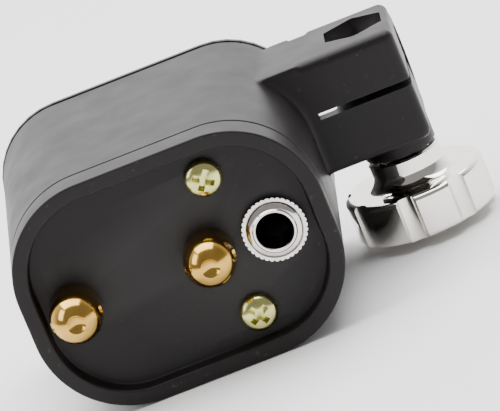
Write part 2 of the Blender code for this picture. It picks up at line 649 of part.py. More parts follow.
def make_eccentric(hub):
    wheel = cylinder("eccentric_wheel", world(MOTOR_X, WHEEL_START + WHEEL_THICKNESS / 2, DRIVE_HEIGHT),
                     WHEEL_RADIUS, WHEEL_THICKNESS, "Y", ALLOY, steps=ROUND_STEPS)
    cut(wheel, cylinder("tool_wheel_hub", world(MOTOR_X, WHEEL_START, DRIVE_HEIGHT), hub, 12.0 * MM, "Y",
                        cutter=True, steps=16))
    pin_x = MOTOR_X + 2.9 * MM
    cut(wheel, cylinder("tool_pin_seat", world(pin_x, WHEEL_START + WHEEL_THICKNESS, DRIVE_HEIGHT),
                        PIN_RADIUS + GAP, 4.4 * MM, "Y", cutter=True, steps=12))
    grub_height = DRIVE_HEIGHT - 0.5 * (WHEEL_RADIUS + SHAFT_RADIUS) - 0.2 * MM
    grub_depth = WHEEL_START + WHEEL_THICKNESS / 2
    cut(wheel, cylinder("tool_grub_hole", world(MOTOR_X, grub_depth, DRIVE_HEIGHT - 4.5 * MM),
                        GRUB_RADIUS + 0.2 * MM, 7.0 * MM, "Z", cutter=True, steps=12))
    cylinder("grub_screw", world(MOTOR_X, grub_depth, grub_height), GRUB_RADIUS, 3.6 * MM, "Z", STEEL, steps=12)
    pin_start = WHEEL_START + 1.6 * MM
    pin_end = 52.4 * MM
    cylinder("crank_pin", world(pin_x, 0.5 * (pin_start + pin_end), DRIVE_HEIGHT), PIN_RADIUS,
             pin_end - pin_start, "Y", STEEL, steps=24)
    bearing_start = WHEEL_START + WHEEL_THICKNESS + 0.5 * MM
    ring("crank_bearing", world(pin_x, bearing_start, DRIVE_HEIGHT), "Y", PIN_RADIUS + 0.08 * MM, 2.5 * MM,
         2.5 * MM, STEEL, 24)


# Clamp screw

def knob_outline(base_radius, groove, height):
    """Points round the knob: lobes with narrow valleys, or a circle when groove is zero."""
    centre = world(SCREW_X, SCREW_DEPTH_AT, height)
    points = []
    for i in range(KNOB_POINTS):
        angle = KNOB_VALLEY_ANGLE + 2 * math.pi * i / KNOB_POINTS
        lobe = abs(math.sin(0.5 * KNOB_LOBES * (angle - KNOB_VALLEY_ANGLE)))
        radius = base_radius - groove * (1.0 - lobe) ** 2
        points.append(centre + Vector((radius * math.cos(angle), radius * math.sin(angle), 0.0)))
    return points


def make_knob():
    """The thumb knob: a plain neck that spreads through a cove into a scalloped head."""
    edge = 0.5 * MM
    cove = 2.3 * MM
    rings = [knob_outline(KNOB_NECK_RADIUS - 0.2 * MM, 0.0, KNOB_NECK_TOP),
             knob_outline(KNOB_NECK_RADIUS, 0.0, KNOB_NECK_TOP - 0.3 * MM),
             knob_outline(KNOB_NECK_RADIUS, 0.0, KNOB_FACE + cove)]
    for step in (1, 2, 3):
        angle = math.radians(30 * step)
        rings.append(knob_outline(KNOB_NECK_RADIUS + cove * (1 - math.cos(angle)), 0.0,
                                  KNOB_FACE + cove * (1 - math.sin(angle)) + 0.001 * MM * (3 - step)))
    rings += [knob_outline(KNOB_RADIUS - edge, KNOB_GROOVE, KNOB_FACE - 0.02 * MM),
              knob_outline(KNOB_RADIUS, KNOB_GROOVE, KNOB_FACE - edge),
              knob_outline(KNOB_RADIUS, KNOB_GROOVE, KNOB_BOTTOM + edge),
              knob_outline(KNOB_RADIUS - edge, KNOB_GROOVE, KNOB_BOTTOM)]
    knob = loft("clamp_knob", rings, CHROME)
    hole_depth = 9.0 * MM
    cut(knob, cylinder("tool_knob_hole", world(SCREW_X, SCREW_DEPTH_AT, KNOB_NECK_TOP), STUD_RADIUS + GAP,
                       2 * hole_depth, "Z", cutter=True))
    return knob


def make_clamp_screw():
    top = 16.4 * MM
    bottom = KNOB_NECK_TOP - 8.6 * MM
    cylinder("clamp_stud", world(SCREW_X, SCREW_DEPTH_AT, 0.5 * (top + bottom)), STUD_RADIUS, top - bottom, "Z",
             STEEL, steps=24)
    nut_bottom = 12.5 * MM + GAP
    nut_thickness = 3.2 * MM
    hex_nut("clamp_nut", world(SCREW_X, SCREW_DEPTH_AT, nut_bottom + nut_thickness / 2), NUT_FLATS,
            nut_thickness, STUD_RADIUS + 0.08 * MM, "Z", STEEL)
    ring("knob_washer", world(SCREW_X, SCREW_DEPTH_AT, KNOB_NECK_TOP + GAP), "Z", STUD_RADIUS + GAP, 5.0 * MM,
         0.7 * MM, STEEL, 24)


clear_scene()
PARTS = new_collection("rotary_tattoo_machine")
CUTTERS = new_collection("cutters")
BLACK = make_material("black_plastic", (0.030, 0.028, 0.028), 0.5, 0.0)
BRASS = make_material("brass", (0.80, 0.58, 0.22), 0.2, 1.0)
ZINC = make_material("yellow_zinc", (0.62, 0.60, 0.32), 0.28, 1.0)
NICKEL = make_material("nickel", (0.72, 0.70, 0.67), 0.15, 1.0)
CHROME = make_material("chrome", (0.85, 0.84, 0.82), 0.06, 1.0)
STEEL = make_material("steel", (0.55, 0.55, 0.56), 0.3, 1.0)
ALLOY = make_material("alloy", (0.75, 0.75, 0.77), 0.35, 1.0)
COPPER = make_material("copper", (0.72, 0.40, 0.22), 0.35, 1.0)
WHITE = make_material("white_plastic", (0.75, 0.74, 0.70), 0.5, 0.0)
GREY = make_material("grey_plastic", (0.12, 0.12, 0.12), 0.6, 0.0)
CARBON = make_material("carbon", (0.05, 0.05, 0.05), 0.8, 0.0)

make_housing()
make_rear_cap()
make_front_plate()
make_front_bezel()
make_cap_screws()
make_front_screws()
make_post("clip_post_left", *POST_LEFT_AT)
make_post("clip_post_right", *POST_RIGHT_AT)
make_post_fixings()
make_jack()
make_motor_case()
make_rotor()
make_knob()
make_clamp_screw()
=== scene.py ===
import json
import math

import bmesh
import bpy
from mathutils import Matrix, Vector


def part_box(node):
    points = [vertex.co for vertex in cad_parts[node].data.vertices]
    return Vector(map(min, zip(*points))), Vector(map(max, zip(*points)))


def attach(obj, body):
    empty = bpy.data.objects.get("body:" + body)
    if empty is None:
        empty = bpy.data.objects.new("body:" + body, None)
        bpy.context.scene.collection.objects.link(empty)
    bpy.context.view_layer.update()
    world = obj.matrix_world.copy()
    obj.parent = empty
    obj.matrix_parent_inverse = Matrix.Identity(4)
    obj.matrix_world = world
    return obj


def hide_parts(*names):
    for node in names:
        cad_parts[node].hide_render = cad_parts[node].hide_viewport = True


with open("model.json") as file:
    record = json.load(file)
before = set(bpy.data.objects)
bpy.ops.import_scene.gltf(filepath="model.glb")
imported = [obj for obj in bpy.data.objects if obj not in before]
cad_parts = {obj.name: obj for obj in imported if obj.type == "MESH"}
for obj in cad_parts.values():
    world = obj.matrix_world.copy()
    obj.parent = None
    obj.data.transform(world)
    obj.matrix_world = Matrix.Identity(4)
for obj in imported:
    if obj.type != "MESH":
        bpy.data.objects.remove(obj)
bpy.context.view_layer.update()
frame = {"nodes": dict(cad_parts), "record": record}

MM = 0.001
TURN = 2.0 * math.pi

# Camera: how it looks at the middle of the rear panel
VIEW_YAW = math.radians(-4.4)
VIEW_ELEVATION = math.radians(16.0)
VIEW_ROLL = math.radians(22.5)
VIEW_DISTANCE = 0.850
LENS = 360.0
AIM_RIGHT = 0.0121
AIM_UP = 0.0109

# Body shell: the outline at the rear, and how it grows towards the front
CAP_LOW, CAP_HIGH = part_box("rear_cap")
REAR = CAP_LOW.y
PANEL_HEIGHT = 20.6 * MM
HALF_WIDTH = 27.75 * MM
HALF_HEIGHT = 20.6 * MM
FULL_DEPTH = 50.0 * MM
SIDE_FLARE = 0.6 * MM
TOP_FLARE = 2.0 * MM
LOWER_RADIUS = 16.8 * MM
UPPER_RADIUS_LOSS = 2.6 * MM
CORNER_SEGMENTS = 28
WALL = 3.0 * MM
RIM = 2.7 * MM
RECESS = 2.9 * MM
SKIRT = 5.6 * MM
CAP_BACK = 7.2 * MM
LEDGE = 41.0 * MM
HOUSING_FRONT = 49.0 * MM
FRONT_LIP = 2.2 * MM

# Clamp
NEAR = 28.0 * MM
FAR = 49.0 * MM
CLAMP_TOP = 18.4 * MM
CLAMP_BOTTOM = -2.5 * MM
CLAMP_LEFT = 33.75 * MM
CLAMP_RIGHT = 47.6 * MM
BORE_DEPTH_AT = 48.4 * MM
BORE_HEIGHT = 8.3 * MM
SCREW_X = 41.05 * MM
SCREW_DEPTH_AT = 39.0 * MM
BORE_RADIUS = 5.4 * MM
BARREL_RADIUS = 7.6 * MM
BOSS_RADIUS = 6.55 * MM
ARM_WALL = 3.0 * MM
ARM_FAR = 46.8 * MM
SLIT_HALF = 0.6 * MM
VOXEL = 0.36 * MM

# Posts, cap screws and socket
POST_RADIUS = 4.6 * MM
DIMPLE_RADIUS = 1.65 * MM
CROSS_HOLE_RADIUS = 1.1 * MM
CROSS_HOLE_BELOW_TIP = 3.4 * MM
CAP_SCREW_TURNS = {"cap_screw_top": math.radians(55), "cap_screw_bottom": math.radians(34)}
RECESS_REACH = 2.5 * MM
RECESS_HALF_WIDTH = 0.6 * MM
RECESS_SINK = 2.1 * MM
NUT_TEETH = 38

# Knob
KNOB_SHOULDER = -10.9 * MM
KNOB_NECK = 6.65 * MM
KNOB_RIM = 12.9 * MM
KNOB_COVE = 2.6 * MM
KNOB_LOBES = 8
KNOB_FIRST_GROOVE = math.radians(-10.2)
GROOVE_RADIUS = 2.0 * MM
GROOVE_AT = 13.6 * MM


def at(x, depth, height):
    """A place given by its x, its depth from the rear rim and its height from the panel's middle."""
    return Vector((x, REAR + depth, PANEL_HEIGHT + height))


# Bench tools

def deselect():
    if bpy.context.mode != "OBJECT":
        bpy.ops.object.mode_set(mode="OBJECT")
    bpy.ops.object.select_all(action="DESELECT")


def take(obj):
    deselect()
    obj.select_set(True)
    bpy.context.view_layer.objects.active = obj


def fix_place(name):
    obj = bpy.context.active_object
    obj.name = name
    bpy.ops.object.transform_apply(location=True, rotation=True, scale=True)
    return obj


def block(name, low, high):
    deselect()
    middle = (Vector(low) + Vector(high)) / 2
    bpy.ops.mesh.primitive_cube_add(size=1.0, location=middle, scale=Vector(high) - Vector(low))
    return fix_place(name)


def rod(name, centre, radius, length, axis, vertices=64):
    deselect()
    turn = {"X": (0.0, math.pi / 2, 0.0), "Y": (math.pi / 2, 0.0, 0.0), "Z": (0.0, 0.0, 0.0)}[axis]
    bpy.ops.mesh.primitive_cylinder_add(vertices=vertices, radius=radius, depth=length, location=centre,
                                        rotation=turn)
    return fix_place(name)


def finish_edges(obj, width, segments=3, angle=32.0, smooth=38.0):
    """Rounds the edges sharper than an angle, then shades the piece smooth with flat faces kept flat."""
    take(obj)
    if width > 0.0:
        rounding = obj.modifiers.new("rounding", "BEVEL")
        rounding.width = width
        rounding.segments = segments
        rounding.limit_method = "ANGLE"
        rounding.angle_limit = math.radians(angle)
        rounding.use_clamp_overlap = True
        bpy.ops.object.modifier_apply(modifier=rounding.name)
    bpy.ops.object.shade_smooth_by_angle(angle=math.radians(smooth))
    flats = obj.modifiers.new("flats", "WEIGHTED_NORMAL")
    flats.keep_sharp = True
    bpy.ops.object.modifier_apply(modifier=flats.name)
    return obj


def combine(target, tool, operation):
    take(target)
    modifier = target.modifiers.new("combine", "BOOLEAN")
    modifier.operation = operation
    modifier.solver = "MANIFOLD"
    modifier.object = tool
    bpy.ops.object.modifier_apply(modifier=modifier.name)
    bpy.data.objects.remove(tool)


def carve(target, tool):
    combine(target, tool, "DIFFERENCE")


def weld_on(target, tool):
    combine(target, tool, "UNION")


def turned(name, base, axis, profile, steps=96, closed=False):
    """A lathe piece: the profile's (radius, distance) points are extruded one by one, then spun."""
    along = {"X": Vector((1, 0, 0)), "Y": Vector((0, 1, 0)), "-Y": Vector((0, -1, 0)), "Z": Vector((0, 0, 1)),
             "-Z": Vector((0, 0, -1))}[axis]
    outward = Vector((1, 0, 0)) if along.x == 0 else Vector((0, 0, 1))
    places = [Vector(base) + radius * outward + distance * along for radius, distance in profile]
    deselect()
    bpy.ops.mesh.primitive_plane_add(size=0.001, location=places[0])
    obj = fix_place(name)
    bpy.ops.object.mode_set(mode="EDIT")
    bpy.ops.mesh.select_mode(type="VERT")
    bpy.ops.mesh.select_all(action="SELECT")
    bpy.ops.mesh.merge(type="CENTER")
    for before, after in zip(places, places[1:]):
        bpy.ops.mesh.extrude_region_move(TRANSFORM_OT_translate={"value": after - before})
    if closed:
        bpy.ops.mesh.extrude_region_move(TRANSFORM_OT_translate={"value": places[0] - places[-1]})
    bpy.ops.mesh.select_all(action="SELECT")
    bpy.ops.mesh.spin(steps=steps, angle=TURN, center=Vector(base), axis=along)
    bpy.ops.mesh.select_all(action="SELECT")
    bpy.ops.mesh.remove_doubles(threshold=0.000003)
    bpy.ops.mesh.normals_make_consistent(inside=False)
    bpy.ops.object.mode_set(mode="OBJECT")
    return obj


def outline_at(depth, inset):
    """Half width, lower edge, upper edge, and the two corner radii of the shell's outline."""
    part = depth / FULL_DEPTH
    half = HALF_WIDTH + SIDE_FLARE * part - inset
    upper = HALF_HEIGHT + TOP_FLARE * part - inset
    lower = inset - HALF_HEIGHT
    return half, lower, upper, LOWER_RADIUS - inset, LOWER_RADIUS - UPPER_RADIUS_LOSS * part - inset


def round_plate(depth, inset):
    """A flat plate across the shell at a depth, with its four corners rounded."""
    half, lower, upper, lower_radius, upper_radius = outline_at(depth, inset)
    deselect()
    bpy.ops.mesh.primitive_plane_add(size=1.0, location=at(0.0, depth, (lower + upper) / 2),
                                     rotation=(math.pi / 2, 0.0, 0.0))
    bpy.context.active_object.scale = (2 * half, upper - lower, 1.0)
    plate = fix_place("plate")
    middle = PANEL_HEIGHT + (lower + upper) / 2
    for above, radius in ((False, lower_radius), (True, upper_radius)):
        bpy.ops.object.mode_set(mode="EDIT")
        bpy.ops.mesh.select_mode(type="VERT")
        bpy.ops.mesh.select_all(action="DESELECT")
        form = bmesh.from_edit_mesh(plate.data)
        corners = [v for v in form.verts if abs(abs(v.co.x) - half) < 1e-6 and
                   abs(v.co.z - PANEL_HEIGHT - (upper if above else lower)) < 1e-6]
        for corner in corners:
            corner.select_set(True)
        bmesh.update_edit_mesh(plate.data)
        bpy.ops.mesh.bevel(offset=radius, segments=CORNER_SEGMENTS, affect="VERTICES", profile=0.5)
        bpy.ops.object.mode_set(mode="OBJECT")
    return plate


def shell_form(name, stations, closed=False):
    """Rounded plates at (depth, inset) stations, bridged one to the next; open ends keep their plates."""
    plates = [round_plate(depth, inset) for depth, inset in stations]
    count = len(plates[0].data.vertices)
    last = len(plates) - 1
    deselect()
    for plate in plates:
        plate.select_set(True)
    bpy.context.view_layer.objects.active = plates[0]
    bpy.ops.object.join()
    obj = bpy.context.active_object
    obj.name = name
    bpy.ops.object.mode_set(mode="EDIT")
    bpy.ops.mesh.select_mode(type="FACE")
    form = bmesh.from_edit_mesh(obj.data)
    form.faces.ensure_lookup_table()
    for index, face in enumerate(form.faces):
        face.select_set(closed or 0 < index < last)
    bmesh.update_edit_mesh(obj.data)
    bpy.ops.mesh.delete(type="ONLY_FACE")
    pairs = [(i, i + 1) for i in range(len(stations) - 1)]
    if closed:
        pairs.append((len(stations) - 1, 0))
    form = bmesh.from_edit_mesh(obj.data)
    form.verts.ensure_lookup_table()
    loops = [[tuple(v.index for v in edge.verts) for edge in form.edges
              if all(v.index // count == ring for v in edge.verts)] for ring in range(len(stations))]
    for one, other in pairs:
        shift = (other - one) * count
        for start, end in loops[one]:
            form.faces.new([form.verts[i] for i in (start, end, end + shift, start + shift)])
    bmesh.update_edit_mesh(obj.data)
    bpy.ops.mesh.select_all(action="SELECT")
    bpy.ops.mesh.normals_make_consistent(inside=False)
    bpy.ops.object.mode_set(mode="OBJECT")
    return obj


def dressed(node, name, width, segments=2, smooth=38.0):
    """A copy of a CAD node, welded, with its edges rounded."""
    source = frame["nodes"][node]
    obj = bpy.data.objects.new(name, source.data.copy())
    bpy.context.scene.collection.objects.link(obj)
    obj.matrix_world = source.matrix_world
    take(obj)
    bpy.ops.object.transform_apply(location=True, rotation=True, scale=True)
    bpy.ops.mesh.customdata_custom_splitnormals_clear()
    bpy.ops.object.mode_set(mode="EDIT")
    bpy.ops.mesh.select_all(action="SELECT")
    bpy.ops.mesh.remove_doubles(threshold=0.000005)
    bpy.ops.object.mode_set(mode="OBJECT")
    return finish_edges(obj, width, segments, smooth=smooth)


PLACED = []


def place(obj, node, body, material):
    obj.data.materials.clear()
    obj.data.materials.append(material)
    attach(obj, body)
    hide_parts(node)
    PLACED.append(node)


def middle_of(node):
    low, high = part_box(node)
    return (low + high) / 2


# Finishes

def noise(tree, source, scale, detail=3.0, stretch=None):
    node = tree.nodes.new("ShaderNodeTexNoise")
    node.inputs["Scale"].default_value = scale
    node.inputs["Detail"].default_value = detail
    if stretch is None:
        tree.links.new(source, node.inputs["Vector"])
    else:
        mapping = tree.nodes.new("ShaderNodeMapping")
        mapping.inputs["Scale"].default_value = stretch
        tree.links.new(source, mapping.inputs["Vector"])
        tree.links.new(mapping.outputs["Vector"], node.inputs["Vector"])
    return node.outputs["Fac"]


def spread(tree, source, low, high, start=0.3, end=0.7):
    node = tree.nodes.new("ShaderNodeMapRange")
    node.inputs["From Min"].default_value = start
    node.inputs["From Max"].default_value = end
    node.inputs["To Min"].default_value = low
    node.inputs["To Max"].default_value = high
    tree.links.new(source, node.inputs["Value"])
    return node.outputs["Result"]


def blend_colours(tree, factor, first, second):
    node = tree.nodes.new("ShaderNodeMix")
    node.data_type = "RGBA"
    tree.links.new(factor, node.inputs["Factor"])
    for socket, colour in ((node.inputs[6], first), (node.inputs[7], second)):
        if hasattr(colour, "default_value"):
            tree.links.new(colour, socket)
        else:
            socket.default_value = (*colour, 1.0)
    return node.outputs[2]


def coat_of(name, colour, second, metallic, rough, patch_scale=250.0, grain_scale=2500.0, grain_depth=0.02,
            stretch=None, scratch=None, edge=None, specular=0.5):
    """A finish: two mottled colours, a roughness that varies, a fine grain, scratches and a painted highlight
    on sharp edges.
    """
    material = bpy.data.materials.new(name)
    material.use_nodes = True
    tree = material.node_tree
    shader = tree.nodes["Principled BSDF"]
    shader.inputs["Metallic"].default_value = metallic
    shader.inputs["Specular IOR Level"].default_value = specular
    source = tree.nodes.new("ShaderNodeTexCoord").outputs["Object"]
    patches = noise(tree, source, patch_scale, 4.0)
    colours = blend_colours(tree, spread(tree, patches, 0.0, 1.0), colour, second)
    grain = noise(tree, source, grain_scale, 2.0, stretch)
    roughness = spread(tree, patches, rough[0], rough[1])
    if scratch:
        marks = noise(tree, source, scratch, 6.0, (1.0, 9.0, 1.0))
        fine = spread(tree, marks, 0.0, 1.0, 0.66, 0.74)
        lighter = tuple(min(1.0, 1.35 * value + 0.02 * (1.0 - metallic)) for value in second)
        colours = blend_colours(tree, fine, colours, lighter)
    # the edge colour is a painted highlight: sharp convex edges, found by pointiness, are painted lighter
    if edge:
        sharpness = tree.nodes.new("ShaderNodeNewGeometry").outputs["Pointiness"]
        painted_edge_highlight = spread(tree, sharpness, 0.0, 1.0, 0.515, 0.6)
        colours = blend_colours(tree, painted_edge_highlight, colours, edge)
    tree.links.new(colours, shader.inputs["Base Color"])
    tree.links.new(roughness, shader.inputs["Roughness"])
    bump = tree.nodes.new("ShaderNodeBump")
    bump.inputs["Strength"].default_value = 1.0
    bump.inputs["Distance"].default_value = grain_depth * MM
    tree.links.new(grain, bump.inputs["Height"])
    tree.links.new(bump.outputs["Normal"], shader.inputs["Normal"])
    return material


def make_finishes():
    return {
        # the black plastic's edge colour is a painted highlight along its sharp edges
        "black_plastic": coat_of("moulded_black", (0.0085, 0.0068, 0.0070), (0.0125, 0.0105, 0.0105), 0.0,
                                 (0.36, 0.46), 160.0, 3200.0, 0.014, scratch=900.0, edge=(0.03, 0.028, 0.028),
                                 specular=0.2),
        "brass": coat_of("polished_brass", (0.66, 0.41, 0.10), (0.52, 0.30, 0.06), 1.0, (0.09, 0.2), 420.0,
                         1800.0, 0.002, stretch=(1.0, 6.0, 1.0)),
        "yellow_zinc": coat_of("yellow_zinc", (0.72, 0.67, 0.27), (0.50, 0.51, 0.20), 1.0, (0.13, 0.3), 520.0,
                               2600.0, 0.004),
        "nickel": coat_of("bright_nickel", (0.80, 0.76, 0.73), (0.62, 0.58, 0.56), 1.0, (0.07, 0.16), 500.0,
                          2400.0, 0.002),
        "chrome": coat_of("chrome_plate", (0.88, 0.85, 0.81), (0.80, 0.76, 0.71), 1.0, (0.03, 0.09), 300.0,
                          900.0, 0.003),
        "steel": coat_of("turned_steel", (0.52, 0.52, 0.53), (0.40, 0.40, 0.41), 1.0, (0.2, 0.34), 600.0,
                         3000.0, 0.005, stretch=(1.0, 1.0, 7.0)),
        "alloy": coat_of("brushed_alloy", (0.74, 0.74, 0.76), (0.6, 0.6, 0.62), 1.0, (0.26, 0.4), 380.0,
                         2600.0, 0.006, stretch=(7.0, 1.0, 1.0)),
        "copper": coat_of("tinned_copper", (0.72, 0.42, 0.25), (0.60, 0.50, 0.42), 1.0, (0.22, 0.4), 700.0,
                          2600.0, 0.006),
        "white_plastic": coat_of("white_nylon", (0.74, 0.72, 0.67), (0.66, 0.64, 0.58), 0.0, (0.4, 0.55),
                                 300.0, 2600.0, 0.012),
        "grey_plastic": coat_of("phenolic_grey", (0.06, 0.055, 0.05), (0.09, 0.085, 0.08), 0.0, (0.45, 0.6),
                                300.0, 2600.0, 0.012),
        "carbon": coat_of("pressed_carbon", (0.035, 0.035, 0.037), (0.06, 0.06, 0.062), 0.0, (0.6, 0.8),
                          900.0, 3200.0, 0.02),
    }


# Body

def make_rear_cap(finish):
    """The cap: a rim round the recessed panel, with the holes for its fittings."""
    spigot = WALL + 0.3 * MM
    cap = shell_form("rear_cap_rim", (
        (RECESS, RIM + 0.35 * MM), (0.0, RIM), (0.0, 0.0), (SKIRT, 0.0), (SKIRT, spigot), (CAP_BACK, spigot)))
    finish_edges(cap, 0.34 * MM, 4)
    for node, radius in (("jack_bushing", 4.95), ("clip_post_left", 2.3), ("clip_post_right", 2.3),
                         ("cap_screw_top", 1.8), ("cap_screw_bottom", 1.8)):
        centre = middle_of(node)
        centre.y = REAR + CAP_BACK / 2
        carve(cap, rod("drill", centre, radius * MM, 20 * MM, "Y", 48))
    finish_edges(cap, 0.0)
    place(cap, "rear_cap", "body", finish["black_plastic"])


def clamp_core():
    """The arm, the block and the barrel before their edges are softened."""
    core = shell_form("clamp_arm", ((24.0 * MM, 0.08 * MM), (HOUSING_FRONT - 0.4 * MM, 0.08 * MM)))
    carve(core, block("left_part", at(-40 * MM, 0.0, -40 * MM), at(17.0 * MM, 60 * MM, 40 * MM)))
    bar = block("bar", at(24.0 * MM, NEAR, CLAMP_BOTTOM), at(CLAMP_RIGHT, FAR, CLAMP_TOP))
    finish_edges(bar, 1.5 * MM, 5)
    weld_on(core, bar)
    roof = block("roof", at(20.0 * MM, NEAR, CLAMP_TOP - ARM_WALL), at(30.0 * MM, ARM_FAR, CLAMP_TOP))
    weld_on(core, roof)
    carve(core, block("window", at(28.9 * MM, NEAR + ARM_WALL, CLAMP_BOTTOM - 5 * MM),
                      at(CLAMP_LEFT - 0.1 * MM, FAR + 6 * MM, CLAMP_TOP - ARM_WALL)))
    carve(core, block("step", at(29.2 * MM, ARM_FAR, CLAMP_BOTTOM - 5 * MM),
                      at(32.6 * MM, FAR + 6 * MM, CLAMP_TOP + 5 * MM)))
    middle = (CLAMP_LEFT + CLAMP_RIGHT) / 2
    weld_on(core, rod("barrel", at(middle, BORE_DEPTH_AT, BORE_HEIGHT), BARREL_RADIUS,
                      CLAMP_RIGHT - CLAMP_LEFT, "X"))
    weld_on(core, rod("boss", at(SCREW_X, SCREW_DEPTH_AT, -2.25 * MM), BOSS_RADIUS, 6.5 * MM, "Z"))
    return core


def soften_core(core):
    """Voxels and smoothing turn the core's corners into the soft fillets of a moulding."""
    take(core)
    voxels = core.modifiers.new("voxels", "REMESH")
    voxels.mode = "VOXEL"
    voxels.voxel_size = VOXEL
    bpy.ops.object.modifier_apply(modifier=voxels.name)
    relax = core.modifiers.new("relax", "SMOOTH")
    relax.factor = 0.5
    relax.iterations = 7
    bpy.ops.object.modifier_apply(modifier=relax.name)
    bpy.ops.object.shade_smooth()


def clamp_openings(core):
    middle = (CLAMP_LEFT + CLAMP_RIGHT) / 2
    carve(core, block("slit", at(30.3 * MM, NEAR - 3 * MM, BORE_HEIGHT - SLIT_HALF),
                      at(CLAMP_RIGHT + 3 * MM, BORE_DEPTH_AT, BORE_HEIGHT + SLIT_HALF)))
    carve(core, rod("bore", at(middle, BORE_DEPTH_AT, BORE_HEIGHT), BORE_RADIUS, 30 * MM, "X", 96))
    carve(core, rod("pocket", at(SCREW_X, SCREW_DEPTH_AT, 22.5 * MM), 6.12 * MM, 20 * MM, "Z", 6))
    carve(core, rod("screw_way", at(SCREW_X, SCREW_DEPTH_AT, 4 * MM), 3.2 * MM, 40 * MM, "Z", 48))
    carve(core, rod("washer_seat", at(SCREW_X, SCREW_DEPTH_AT, -5.6 * MM), 5.3 * MM, 2.2 * MM, "Z", 64))


def make_housing(finish):
    """The body tube with the clamp moulded to its side."""
    tube = shell_form("body_housing", (
        (SKIRT + 0.3 * MM, 0.0), (HOUSING_FRONT, 0.0), (HOUSING_FRONT, FRONT_LIP), (LEDGE, FRONT_LIP),
        (LEDGE, WALL), (SKIRT + 0.3 * MM, WALL)), closed=True)
    finish_edges(tube, 0.22 * MM, 3)
    core = clamp_core()
    soften_core(core)
    carve(core, shell_form("cavity", ((10 * MM, WALL + 0.05 * MM), (LEDGE + 0.05 * MM, WALL + 0.05 * MM))))
    carve(core, shell_form("front_cavity", (
        (LEDGE, FRONT_LIP + 0.05 * MM), (60 * MM, FRONT_LIP + 0.05 * MM))))
    clamp_openings(core)
    for part in (tube, core):
        carve(part, block("needle_notch", at(22 * MM, 44.6 * MM, BORE_HEIGHT - 3.4 * MM),
                          at(32 * MM, 55 * MM, BORE_HEIGHT + 3.4 * MM)))
    finish_edges(tube, 0.0)
    take(core)
    bpy.ops.object.shade_smooth_by_angle(angle=math.radians(36.0))
    deselect()
    core.select_set(True)
    tube.select_set(True)
    bpy.context.view_layer.objects.active = tube
    bpy.ops.object.join()
    place(tube, "housing", "body", finish["black_plastic"])


# Rear panel fittings

def make_posts(finish):
    """Brass posts: a straight foot, a dome with a cone sunk in its tip, and a chamfered cross hole."""
    radius = POST_RADIUS
    for node in ("clip_post_left", "clip_post_right"):
        low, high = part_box(node)
        centre = (low + high) / 2
        seat = REAR + RECESS - 0.3 * MM
        length = seat - low.y
        shank = high.y - seat
        start = math.asin(DIMPLE_RADIUS / radius)
        profile = [(0.0, length - 1.75 * MM), (1.45 * MM, length - 0.45 * MM)]
        for step in range(25):
            angle = start + (math.pi / 2 - start) * step / 24
            profile.append((radius * math.sin(angle), length - radius * (1.0 - math.cos(angle))))
        straight = length - radius
        profile += [(radius + 0.03 * MM, straight - 0.12 * MM), (radius - 0.02 * MM, straight - 0.3 * MM),
                    (radius, straight - 0.5 * MM), (radius, 0.35 * MM), (radius - 0.35 * MM, 0.0),
                    (2.0 * MM, 0.0), (2.0 * MM, -shank + 0.3 * MM), (1.7 * MM, -shank), (0.0, -shank)]
        post = turned(f"{node}_brass", (centre.x, seat, centre.z), "-Y", profile, 112)
        hole_at = Vector((centre.x, low.y + CROSS_HOLE_BELOW_TIP, centre.z))
        carve(post, rod("cross_hole", hole_at, CROSS_HOLE_RADIUS, 20 * MM, "X", 40))
        for side in (-1, 1):
            deselect()
            bpy.ops.mesh.primitive_cone_add(vertices=40, radius1=2.3 * MM, radius2=0.3 * MM, depth=2.0 * MM,
                                            location=hole_at + Vector((side * 4.35 * MM, 0.0, 0.0)),
                                            rotation=(0.0, -side * math.pi / 2, 0.0))
            carve(post, fix_place("chamfer"))
        finish_edges(post, 0.07 * MM, 2, angle=38.0)
        place(post, node, "body", finish["brass"])


def cross_cutter(centre, reach, half_width, sink, turn):
    """The cross of a driver's tip: two tapered bars."""
    bars = []
    for extra in (0.0, math.pi / 2):
        bar = block("bar", centre + Vector((-reach, -2.0 * MM, -half_width)),
                    centre + Vector((reach, sink, half_width)))
        bpy.ops.object.mode_set(mode="EDIT")
        bpy.ops.mesh.select_mode(type="FACE")
        bpy.ops.mesh.select_all(action="DESELECT")
        form = bmesh.from_edit_mesh(bar.data)
        for face in form.faces:
            if face.normal.y > 0.9:
                face.select_set(True)
        bmesh.update_edit_mesh(bar.data)
        bpy.ops.transform.resize(value=(0.6, 1.0, 0.8), center_override=centre + Vector((0.0, sink, 0.0)))
        bpy.ops.mesh.select_all(action="SELECT")
        bpy.ops.transform.rotate(value=turn + extra, orient_axis="Y", center_override=centre)
        bpy.ops.object.mode_set(mode="OBJECT")
        bars.append(bar)
    weld_on(bars[0], bars[1])
    return bars[0]


def make_cap_screws(finish):
    for node, turn in CAP_SCREW_TURNS.items():
        low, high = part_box(node)
        centre = (low + high) / 2
        seat = REAR + RECESS - 0.3 * MM
        height = seat - low.y
        radius = (high.x - low.x) / 2
        profile = [(0.0, height)]
        for step in range(1, 15):
            angle = (math.pi / 2) * step / 14
            profile.append((radius * math.sin(angle) ** 0.9, height * (0.16 + 0.84 * math.cos(angle) ** 0.8)))
        profile += [(radius - 0.02 * MM, 0.12 * MM), (radius - 0.15 * MM, 0.0), (1.25 * MM, 0.0),
                    (1.25 * MM, seat - high.y + 0.5 * MM), (0.4 * MM, seat - high.y), (0.0, seat - high.y)]
        screw = turned(f"{node}_zinc", (centre.x, seat, centre.z), "-Y", profile, 80)
        carve(screw, cross_cutter(Vector((centre.x, low.y, centre.z)), RECESS_REACH, RECESS_HALF_WIDTH,
                                  RECESS_SINK, turn))
        finish_edges(screw, 0.1 * MM, 3, angle=35.0)
        place(screw, node, "body", finish["yellow_zinc"])


